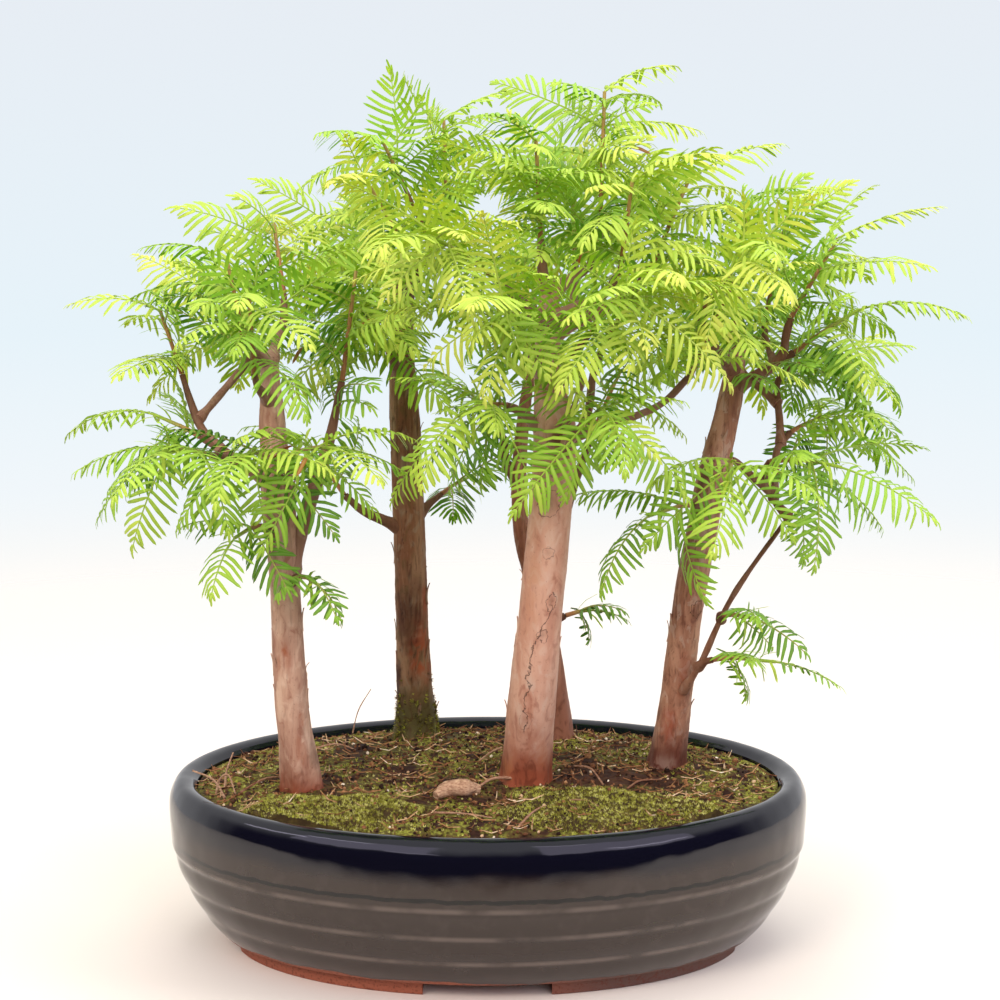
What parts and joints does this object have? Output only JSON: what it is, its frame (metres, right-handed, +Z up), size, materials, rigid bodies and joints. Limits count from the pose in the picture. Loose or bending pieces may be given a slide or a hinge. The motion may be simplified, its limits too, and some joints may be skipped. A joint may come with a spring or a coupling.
{
  "type": "dawn redwood bonsai forest",
  "caption": "Dawn redwood bonsai forest: slender trunks with arching feathery shoots over mossy soil in an oval glazed pot with a notched foot.",
  "frame": {"origin": "on the ground under the middle of the whole forest seen from above, with the pot standing on its feet", "axes": "+Z up; +X along the pot's length, to the right as the picture shows it; +Y across the pot, away from the viewer"},
  "size_m": [0.3795, 0.3019, 0.3836],
  "materials": {
    "glaze": "gloss",
    "mesh_plastic": "matte",
    "soil": "matte",
    "moss": "matte",
    "dead_wood": "matte",
    "bark": "matte",
    "foliage": "satin"
  },
  "bodies": {
    "root": {"pot": "glaze", "drain_mesh_1": "mesh_plastic", "drain_mesh_2": "mesh_plastic", "soil": "soil", "moss_left": "moss", "moss_right": "moss", "root_knuckle": "dead_wood", "tree_left": "bark", "shoot_left_01": "foliage", "shoot_left_02": "foliage", "shoot_left_03": "foliage", "shoot_left_04": "foliage", "shoot_left_05": "foliage", "shoot_left_06": "foliage", "shoot_left_07": "foliage", "shoot_left_08": "foliage", "shoot_left_09": "foliage", "shoot_left_10": "foliage", "shoot_left_11": "foliage", "shoot_left_12": "foliage", "tree_back_left": "bark", "shoot_back_left_01": "foliage", "shoot_back_left_02": "foliage", "shoot_back_left_03": "foliage", "shoot_back_left_04": "foliage", "shoot_back_left_05": "foliage", "shoot_back_left_06": "foliage", "shoot_back_left_07": "foliage", "tree_centre": "bark", "shoot_centre_01": "foliage", "shoot_centre_02": "foliage", "shoot_centre_03": "foliage", "shoot_centre_04": "foliage", "shoot_centre_05": "foliage", "shoot_centre_06": "foliage", "shoot_centre_07": "foliage", "shoot_centre_08": "foliage", "shoot_centre_09": "foliage", "shoot_centre_10": "foliage", "shoot_centre_11": "foliage", "tree_back_centre": "bark", "shoot_back_centre_01": "foliage", "shoot_back_centre_02": "foliage", "shoot_back_centre_03": "foliage", "shoot_back_centre_04": "foliage", "shoot_back_centre_05": "foliage", "tree_right": "bark", "shoot_right_01": "foliage", "shoot_right_02": "foliage", "shoot_right_03": "foliage", "shoot_right_04": "foliage", "shoot_right_05": "foliage", "shoot_right_06": "foliage", "shoot_right_07": "foliage", "shoot_right_08": "foliage", "shoot_right_09": "foliage", "shoot_right_10": "foliage", "shoot_right_11": "foliage", "shoot_right_12": "foliage", "shoot_right_13": "foliage"}
  },
  "joints": []
}
